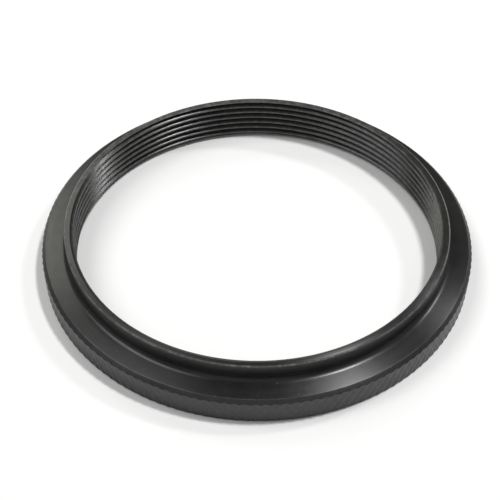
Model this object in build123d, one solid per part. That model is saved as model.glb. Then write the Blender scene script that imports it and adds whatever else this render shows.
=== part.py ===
from build123d import *
import os
from math import acos, cos, pi, radians, sin, tan

# Lock ring for the large 3.290 in x 16 tpi thread at the back of a telescope tube.
# It is one turned aluminium piece: a band that is knurled to grip, a flat shoulder on top of it,
# and a raised collar with the internal thread running right through from rim to base.
# +Z is the ring's axis and points out of the collar. The origin is the centre of the base.

# Driving dimensions, in mm
thread_major_diameter = 83.566  # 3.290 in
threads_per_inch = 16
collar_wall = 1.067  # outside the thread's major diameter
shoulder_width = 5.4  # from the collar's wall to the outside of the band
band_height = 6.2
collar_height = 4.5
band_chamfer = 0.85  # between the knurled band and the shoulder
base_chamfer = 0.3  # outer edge of the base
rim_chamfer = 0.35  # outer edge of the collar's rim
bore_lead_in = 1.1  # chamfer where the bore meets the base, just wider than the thread
root_radius = 1.1  # concave corner between the shoulder and the collar
root_undercut = 0.1  # how far that corner is cut into the collar's wall
thread_start_angle = 240  # degrees round from +X to where the groove's middle leaves through the rim

# The 60 degree thread, its flat root an eighth of a pitch wide and its crest cut off at 5/8 of its height
inch = 25.4
pitch = inch / threads_per_inch
flank_angle = radians(30)
thread_depth = 5 / 8 * (pitch / 2) / tan(flank_angle)
root_flat = pitch / 8

major_r = thread_major_diameter / 2
bore_r = major_r - thread_depth
collar_r = major_r + collar_wall
outer_r = collar_r + shoulder_width
rim_z = band_height + collar_height


def turned_blank():
    """The ring as it comes off the lathe before threading: one section turned about +Z."""
    root_centre_r = collar_r - root_undercut + root_radius
    root_centre_z = band_height + root_radius
    root_end = pi - acos(1 - root_undercut / root_radius)
    root_middle = (1.5 * pi + root_end) / 2

    def on_root(angle):
        return root_centre_r + root_radius * cos(angle), root_centre_z + root_radius * sin(angle)

    root_start = (root_centre_r, band_height)
    outside = Polyline(
        (bore_r + bore_lead_in, 0),
        (outer_r - base_chamfer, 0),
        (outer_r, base_chamfer),
        (outer_r, band_height - band_chamfer),
        (outer_r - band_chamfer, band_height),
        root_start,
    )
    root = ThreePointArc(root_start, on_root(root_middle), on_root(root_end))
    collar = Polyline(
        on_root(root_end),
        (collar_r, rim_z - rim_chamfer),
        (collar_r - rim_chamfer, rim_z),
        (bore_r, rim_z),
        (bore_r, bore_lead_in),
        (bore_r + bore_lead_in, 0),
    )
    section = make_face(Plane.XZ * (outside + root + collar))
    return revolve(section, Axis.Z)


def groove_cutter(turns):
    """A length of the thread's groove, starting on +X with its middle at z = 0."""
    inner_r = bore_r - thread_depth / 4
    root_half = root_flat / 2
    mouth_half = root_half + (major_r - inner_r) * tan(flank_angle)
    section = Plane.XZ * Polygon(
        (inner_r, -mouth_half),
        (major_r, -root_half),
        (major_r, root_half),
        (inner_r, mouth_half),
        align=None,
    )
    return sweep(section, path=Helix(pitch, turns * pitch, major_r), is_frenet=True)


def threaded(blank):
    """Cuts the right-hand internal thread through the blank, half a turn at a time from the top."""
    step = 0.5
    overlap = 0.01
    cutter = groove_cutter(step + overlap)
    top = rim_z + pitch / 2
    count = int((top + 1.5 * pitch) / (step * pitch)) + 1
    for i in range(count):
        height = top - i * step * pitch
        angle = thread_start_angle + 180 - i * step * 360
        blank -= Pos(0, 0, height) * Rot(0, 0, angle) * cutter
    return blank


os.makedirs("parts", exist_ok=True)
export_step(threaded(turned_blank()), "parts/lock_ring.step")
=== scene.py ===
from math import acos, cos, pi, radians, sin, tan

import bpy
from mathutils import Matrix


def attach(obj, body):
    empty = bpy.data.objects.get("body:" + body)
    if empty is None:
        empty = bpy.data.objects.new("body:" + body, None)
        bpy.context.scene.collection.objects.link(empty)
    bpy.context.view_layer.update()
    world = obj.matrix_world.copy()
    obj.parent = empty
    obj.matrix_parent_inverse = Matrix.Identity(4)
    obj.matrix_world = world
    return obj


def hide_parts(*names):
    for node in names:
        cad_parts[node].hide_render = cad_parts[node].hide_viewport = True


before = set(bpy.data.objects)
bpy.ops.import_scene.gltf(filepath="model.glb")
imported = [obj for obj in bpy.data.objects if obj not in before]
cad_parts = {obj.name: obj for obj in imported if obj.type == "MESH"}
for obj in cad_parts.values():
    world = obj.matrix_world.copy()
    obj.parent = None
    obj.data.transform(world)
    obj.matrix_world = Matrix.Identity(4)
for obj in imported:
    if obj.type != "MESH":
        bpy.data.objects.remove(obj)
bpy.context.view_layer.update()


# ---- The turned blank ----
# The ring is one piece of aluminium. It is turned to a wide band, a flat shoulder and a raised collar
# round the bore. The tool breaks each corner, and its round nose leaves the hollow corner at the
# collar's foot, cut a little into the collar's wall.
MM = 0.001
LATHE_STEPS = 480

bore_r = 40.924 * MM
collar_r = 42.85 * MM
outer_r = 48.25 * MM
band_z = 6.2 * MM
rim_z = 10.7 * MM
band_chamfer = 0.85 * MM
base_chamfer = 0.3 * MM
rim_chamfer = 0.35 * MM
rim_inner_break = 0.06 * MM
bore_lead_in = 1.1 * MM
root_radius = 1.1 * MM
root_undercut = 0.1 * MM
root_steps = 12
corner_break = 0.05 * MM
sharp_angle = radians(20)  # corners that turn by more are broken, and not shaded as curves


def edit(piece):
    """Opens the piece for editing with nothing selected."""
    if bpy.context.mode != "OBJECT":
        bpy.ops.object.mode_set(mode="OBJECT")
    bpy.ops.object.select_all(action="DESELECT")
    bpy.context.view_layer.objects.active = piece
    piece.select_set(True)
    bpy.ops.object.mode_set(mode="EDIT")
    bpy.ops.mesh.select_all(action="DESELECT")


def finish_modifiers(piece):
    """Applies all of the piece's modifiers, in their order."""
    bpy.ops.object.mode_set(mode="OBJECT")
    bpy.context.view_layer.objects.active = piece
    for modifier in list(piece.modifiers):
        bpy.ops.object.modifier_apply(modifier=modifier.name)


def turn(start, profile):
    """Carries the selected circle from its (radius, height) through the profile's, like a lathe tool."""
    radius, height = start
    for next_radius, next_height in profile:
        bpy.ops.mesh.extrude_region_move(TRANSFORM_OT_translate={"value": (0, 0, next_height - height)})
        scale = next_radius / radius
        bpy.ops.transform.resize(value=(scale, scale, 1), center_override=(0, 0, 0))
        radius, height = next_radius, next_height


root_centre = (collar_r - root_undercut + root_radius, band_z + root_radius)
root_first = 1.5 * pi
root_last = pi - acos(1 - root_undercut / root_radius)
root_arc = []
for i in range(root_steps + 1):
    angle = root_first + (root_last - root_first) * i / root_steps
    root_arc.append((root_centre[0] + root_radius * cos(angle), root_centre[1] + root_radius * sin(angle)))

base_start = (bore_r + bore_lead_in, 0)
bpy.ops.object.select_all(action="DESELECT")
bpy.ops.mesh.primitive_circle_add(vertices=LATHE_STEPS, radius=base_start[0], fill_type="NOTHING")
ring = bpy.context.object
ring.name = ring.data.name = "threaded_knurled_ring"
edit(ring)
bpy.ops.mesh.select_all(action="SELECT")
turn(
    base_start,
    [
        (outer_r - base_chamfer, 0),
        (outer_r, base_chamfer),
        (outer_r, band_z - band_chamfer),
        (outer_r - band_chamfer, band_z),
        *root_arc,
        (collar_r, rim_z - rim_chamfer),
        (collar_r - rim_chamfer, rim_z),
        (bore_r + rim_inner_break, rim_z),
        (bore_r, rim_z - rim_inner_break),
        (bore_r, bore_lead_in),
        base_start,
    ],
)
bpy.ops.mesh.select_all(action="SELECT")
bpy.ops.mesh.remove_doubles(threshold=0.001 * MM)
bpy.ops.mesh.normals_make_consistent(inside=False)
corners = ring.modifiers.new("corners", "BEVEL")
corners.width = corner_break
corners.segments = 2
corners.limit_method = "ANGLE"
corners.angle_limit = sharp_angle
finish_modifiers(ring)


# ---- The knurled grip ----
# Two wheels press slanting grooves into the band, which leaves rows of four-sided points. The knurl is
# rolled over the whole band before the chamfers above and below it are turned.
KNURLS_ROUND = 150
knurl_slant = radians(30)
knurl_depth = 0.14 * MM
knurl_flat = 0.03 * MM
knurl_rows = 5
knurl_overrun = 0.5 * MM  # past the ring's base and rim
knurl_weld = 0.03 * MM

groove_r = outer_r - knurl_depth
knurl_wide = 2 * groove_r * tan(pi / KNURLS_ROUND)
knurl_high = knurl_wide / tan(knurl_slant)


def cut_with(piece, tool, operation):
    """Shapes the piece with a closed tool, which is then thrown away."""
    cut = piece.modifiers.new("cut", "BOOLEAN")
    cut.object = tool
    cut.operation = operation
    cut.solver = "MANIFOLD"
    finish_modifiers(piece)
    bpy.data.objects.remove(tool)


bpy.ops.object.select_all(action="DESELECT")
bpy.ops.mesh.primitive_circle_add(vertices=4, radius=0.5, fill_type="NGON", rotation=(pi / 2, 0, pi / 2))
knurl = bpy.context.object
bpy.ops.object.transform_apply(location=False, rotation=True, scale=False)
edit(knurl)
bpy.ops.mesh.select_all(action="SELECT")
bpy.ops.transform.resize(value=(1, knurl_wide, knurl_high), center_override=(0, 0, 0))
bpy.ops.transform.translate(value=(groove_r, 0, -knurl_high / 2))
bpy.ops.mesh.poke(offset=knurl_depth + knurl_flat)
bpy.ops.mesh.spin(
    steps=1, dupli=True, angle=pi / KNURLS_ROUND, center=(0, 0, knurl_high / 2), axis=(0, 0, 1)
)
bpy.ops.transform.translate(value=(0, 0, knurl_high / 2))
stack = knurl.modifiers.new("stack", "ARRAY")
stack.count = knurl_rows
stack.use_relative_offset = False
stack.use_constant_offset = True
stack.constant_offset_displace = (0, 0, knurl_high)
finish_modifiers(knurl)
edit(knurl)
bpy.ops.mesh.select_all(action="SELECT")
bpy.ops.mesh.spin(
    steps=KNURLS_ROUND - 1,
    dupli=True,
    angle=2 * pi * (KNURLS_ROUND - 1) / KNURLS_ROUND,
    center=(0, 0, 0),
    axis=(0, 0, 1),
)
bpy.ops.mesh.select_all(action="SELECT")
bpy.ops.mesh.remove_doubles(threshold=knurl_weld)
for height, above in ((-knurl_overrun, False), (rim_z + knurl_overrun, True)):
    bpy.ops.mesh.select_all(action="SELECT")
    bpy.ops.mesh.bisect(
        plane_co=(0, 0, height), plane_no=(0, 0, 1), use_fill=True, clear_outer=above, clear_inner=not above
    )
bpy.ops.mesh.select_all(action="SELECT")
bpy.ops.mesh.normals_make_consistent(inside=False)
cut_with(ring, knurl, "INTERSECT")


# ---- The internal thread ----
# A 60 degree right-hand thread is cut through the bore from rim to base. Its groove is a helix with a
# narrow flat root, and runs out through both ends.
inch = 25.4 * MM
threads_per_inch = 16
pitch = inch / threads_per_inch
flank_angle = radians(30)
major_r = 41.783 * MM
root_flat = pitch / 8
thread_start = radians(240)
thread_turns = 9
inner_r = bore_r - 0.2 * MM  # the groove's open side, clear of the crests

mouth = root_flat + 2 * (major_r - inner_r) * tan(flank_angle)
first_z = rim_z + pitch - thread_turns * pitch

bpy.ops.object.select_all(action="DESELECT")
bpy.ops.mesh.primitive_plane_add(size=1, rotation=(pi / 2, 0, 0))
groove = bpy.context.object
bpy.ops.object.transform_apply(location=False, rotation=True, scale=False)
edit(groove)
bpy.ops.mesh.select_all(action="SELECT")
bpy.ops.transform.resize(value=(major_r - inner_r, 1, mouth), center_override=(0, 0, 0))
bpy.ops.transform.translate(value=((major_r + inner_r) / 2, 0, first_z))
bpy.ops.mesh.select_all(action="DESELECT")
bpy.ops.object.mode_set(mode="OBJECT")
middle_r = (major_r + inner_r) / 2
for vertex in groove.data.vertices:
    vertex.select = vertex.co.x > middle_r
bpy.ops.object.mode_set(mode="EDIT")
bpy.ops.transform.resize(value=(1, 1, root_flat / mouth), center_override=(0, 0, first_z))
bpy.ops.mesh.select_all(action="SELECT")
bpy.ops.transform.rotate(value=-thread_start, orient_axis="Z", center_override=(0, 0, 0))
bpy.ops.mesh.delete(type="ONLY_FACE")
helix = groove.modifiers.new("helix", "SCREW")
helix.axis = "Z"
helix.angle = 2 * pi
helix.screw_offset = pitch
helix.iterations = thread_turns
helix.steps = helix.render_steps = LATHE_STEPS
finish_modifiers(groove)
edit(groove)
bpy.ops.mesh.select_all(action="SELECT")
bpy.ops.mesh.fill_holes(sides=4)
bpy.ops.mesh.select_all(action="SELECT")
bpy.ops.mesh.normals_make_consistent(inside=False)
cut_with(ring, groove, "DIFFERENCE")
bpy.ops.object.select_all(action="DESELECT")
ring.select_set(True)
bpy.context.view_layer.objects.active = ring
bpy.ops.object.shade_smooth_by_angle(angle=sharp_angle)


# ---- Black anodising ----
# The bare ring is dyed black in the anodising bath. The skin is satin and shows the turning marks under
# it. Bare metal comes through on the sharp edges, on the thread's crests and a little all round the rim,
# and a few specks of dust lie on it. The rim's face is also painted lighter and more metallic towards the
# back and left, in the bare metal colour, as a painted sheen.
class Value:
    """An output of a material's nodes, which can be used in sums like a number."""

    def __init__(self, tree, socket=None):
        self.tree = tree
        self.socket = socket

    def node(self, kind, settings, inputs, output=0):
        """Adds a node: its settings first, then the values or links of its inputs."""
        made = self.tree.nodes.new(kind)
        for name, setting in settings.items():
            setattr(made, name, setting)
        for name, given in inputs.items():
            if isinstance(given, Value):
                self.tree.links.new(made.inputs[name], given.socket)
            else:
                made.inputs[name].default_value = given
        return Value(self.tree, made.outputs[output] if made.outputs else None)

    def maths(self, operation, *given):
        return self.node("ShaderNodeMath", {"operation": operation}, dict(enumerate(given)))

    def __add__(self, other):
        return self.maths("ADD", self, other)

    def __sub__(self, other):
        return self.maths("SUBTRACT", self, other)

    def __rsub__(self, other):
        return self.maths("SUBTRACT", other, self)

    def __mul__(self, other):
        return self.maths("MULTIPLY", self, other)

    __radd__ = __add__
    __rmul__ = __mul__

    def rise(self, low, high):
        """Goes smoothly from 0 to 1 as this value goes from low to high."""
        limits = {"Value": self, "From Min": low, "From Max": high}
        return self.node("ShaderNodeMapRange", {"interpolation_type": "SMOOTHSTEP"}, limits)

    def mix(self, first, second):
        """Blends two colours, with this value as the share of the second."""
        return self.node("ShaderNodeMix", {"data_type": "RGBA"}, {0: self, 6: first, 7: second}, output=2)


anodised = bpy.data.materials.new("black_anodised")
anodised.use_nodes = True
anodised.node_tree.nodes.clear()
shade = Value(anodised.node_tree)
place = shade.node("ShaderNodeTexCoord", {}, {}, output="Object")
in_mm = shade.node("ShaderNodeVectorMath", {"operation": "SCALE"}, {0: place, "Scale": 1 / MM})
across_x = shade.node("ShaderNodeSeparateXYZ", {}, {0: in_mm}, output="X")
across_y = shade.node("ShaderNodeSeparateXYZ", {}, {0: in_mm}, output="Y")
height = shade.node("ShaderNodeSeparateXYZ", {}, {0: in_mm}, output="Z")
radius = shade.maths("SQRT", across_x * across_x + across_y * across_y)


def noise(scale, detail, roughness):
    """Irregular patches, about 1 / scale millimetres across."""
    inputs = {"Vector": in_mm, "Scale": scale, "Detail": detail, "Roughness": roughness}
    return shade.node("ShaderNodeTexNoise", {"noise_dimensions": "3D"}, inputs)


line_slant = 0.83  # height's share, so that the lines go on up the walls


def marks(scale):
    """Fine lines round the axis, one after another along the section."""
    along = radius + line_slant * height
    inputs = {"W": along, "Scale": scale, "Detail": 3.0}
    return shade.node("ShaderNodeTexNoise", {"noise_dimensions": "1D"}, inputs)


def near_edge(edge_r, edge_z, reach):
    """1 on a turned edge, falling to 0 at a reach in millimetres from it."""
    off_r = radius - edge_r / MM
    off_z = height - edge_z / MM
    distance = shade.maths("SQRT", off_r * off_r + off_z * off_z)
    return 1 - distance.rise(0, reach)


collar_edge = near_edge(collar_r - rim_chamfer / 2, rim_z - rim_chamfer / 2, 0.32)
foot_edge = near_edge(collar_r, root_arc[-1][1], 0.14)
shoulder_edge = near_edge(outer_r - band_chamfer, band_z, 0.16)
patchy = noise(0.9, 3.0, 0.6).rise(0.42, 0.66)
# Painted sheen: the rim's face is painted lighter and more metallic towards the back and left, over a
# little wear all round
painted_sheen_side = (across_y - 0.25 * across_x).rise(5, 42)
rim_wear_and_sheen = height.rise(rim_z / MM - 0.08, rim_z / MM - 0.02) * (0.02 + 0.36 * painted_sheen_side)
in_bore = 1 - radius.rise(major_r / MM + 0.02, major_r / MM + 0.12)
crests = in_bore * (1 - radius.rise(bore_r / MM + 0.08, bore_r / MM + 0.58))
# Wear on the edges, crests and rim, together with the rim's painted sheen
wear_and_sheen = collar_edge * 0.7 + foot_edge * 0.3 + shoulder_edge * 0.2 + rim_wear_and_sheen + crests * 0.22
wear_and_sheen = wear_and_sheen * (0.35 + 0.65 * patchy)

dye_dark = (0.0060, 0.0064, 0.0064, 1)
dye_light = (0.0105, 0.0112, 0.0100, 1)
dust = (0.25, 0.25, 0.24, 1)
# The bare metal colour serves both the wear and the rim's painted sheen
bare_metal_and_sheen = (0.34, 0.34, 0.32, 1)
cloud = noise(0.25, 3.0, 0.6).rise(0.3, 0.7)
skin = cloud.mix(dye_dark, dye_light)
specks = noise(3.1, 1.0, 0.4).rise(0.755, 0.80)
dusty = (specks * 0.5).mix(skin, dust)
colour = wear_and_sheen.mix(dusty, bare_metal_and_sheen)

gloss = 0.22 - 0.02 * in_bore + 0.10 * noise(0.6, 3.0, 0.6) + 0.10 * marks(2.5) + 0.15 * specks
mark_depth = 0.02 * MM
mark_lines = {"Strength": 0.35, "Distance": mark_depth, "Height": marks(3.0) + 0.6 * marks(9.0)}
turned = shade.node("ShaderNodeBump", {}, mark_lines, output="Normal")
# The marks run round the axis, so the skin is rougher across them than along them
skin_shader = shade.node(
    "ShaderNodeBsdfPrincipled",
    {},
    {
        "Base Color": colour,
        "Metallic": wear_and_sheen,
        "Roughness": gloss,
        "Normal": turned,
        "Anisotropic": 0.85,
        "Anisotropic Rotation": 0.25,
        "IOR": 1.6,
    },
)
shade.node("ShaderNodeOutputMaterial", {}, {"Surface": skin_shader})
ring.data.materials.clear()
ring.data.materials.append(anodised)
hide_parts("lock_ring")
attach(ring, "root")


# ---- Floor, light and camera ----
# The ring lies on a plain white floor. Most of the light comes from overhead, and the rest from a
# window at the right and from panels at the back, left and front.
bpy.ops.object.select_all(action="DESELECT")
floor_gap = 0.02 * MM
bpy.ops.mesh.primitive_plane_add(size=4, location=(0, 0, -floor_gap))
floor = bpy.context.object
floor.name = "floor"
paper = bpy.data.materials.new("white_floor")
paper.use_nodes = True
paper_shader = paper.node_tree.nodes["Principled BSDF"]
paper_shader.inputs["Base Color"].default_value = (0.92, 0.92, 0.915, 1)
paper_shader.inputs["Roughness"].default_value = 0.8
floor.data.materials.append(paper)

world = bpy.data.worlds.new("room")
bpy.context.scene.world = world
world.use_nodes = True
world.node_tree.nodes["Background"].inputs["Color"].default_value = (1, 1, 1, 1)
world.node_tree.nodes["Background"].inputs["Strength"].default_value = 0.14

# Each light's name, its bearing and height in degrees as seen from the ring, its width, power and colour
white = (1, 1, 1)
greenish = (0.97, 1, 0.90)
soft_lights = [
    ("window", 33, 45, 0.10, 1.4, white),
    ("back_left", 120, 40, 0.30, 1.0, greenish),
    ("left_panel", 175, 60, 0.50, 2.6, white),
    ("front_fill", -95, 40, 0.80, 0.7, white),
    ("ceiling_light", 15, 71, 0.10, 4.3, white),
]
light_distance = 0.9
for name, bearing, elevation, width, power, tint in soft_lights:
    light = bpy.data.lights.new(name, "AREA")
    light.shape = "SQUARE"
    light.size = width
    light.energy = power
    light.color = tint
    lamp = bpy.data.objects.new(name, light)
    bpy.context.collection.objects.link(lamp)
    level = light_distance * cos(radians(elevation))
    lamp.location = (
        level * cos(radians(bearing)),
        level * sin(radians(bearing)),
        light_distance * sin(radians(elevation)),
    )
    lamp.rotation_euler = (radians(90 - elevation), 0, radians(bearing + 90))

camera_elevation = radians(45.36)
camera_dip = radians(45.385)  # a little more than its elevation, so it aims just below the centre
camera_distance = 252.3 * MM
camera_roll = radians(0.51)
camera_turn = radians(0.354)
camera = bpy.data.cameras.new("camera")
camera.lens = 78.98
camera.sensor_width = 36
camera.clip_start = 0.01
eye = bpy.data.objects.new("camera", camera)
bpy.context.collection.objects.link(eye)
eye.location = (0, -camera_distance * cos(camera_elevation), camera_distance * sin(camera_elevation))
eye.rotation_euler = (pi / 2 - camera_dip, 0, 0)
eye.rotation_euler.rotate_axis("Z", camera_roll)
eye.rotation_euler.rotate_axis("Y", camera_turn)
bpy.context.scene.camera = eye
bpy.context.scene.view_settings.view_transform = "Standard"
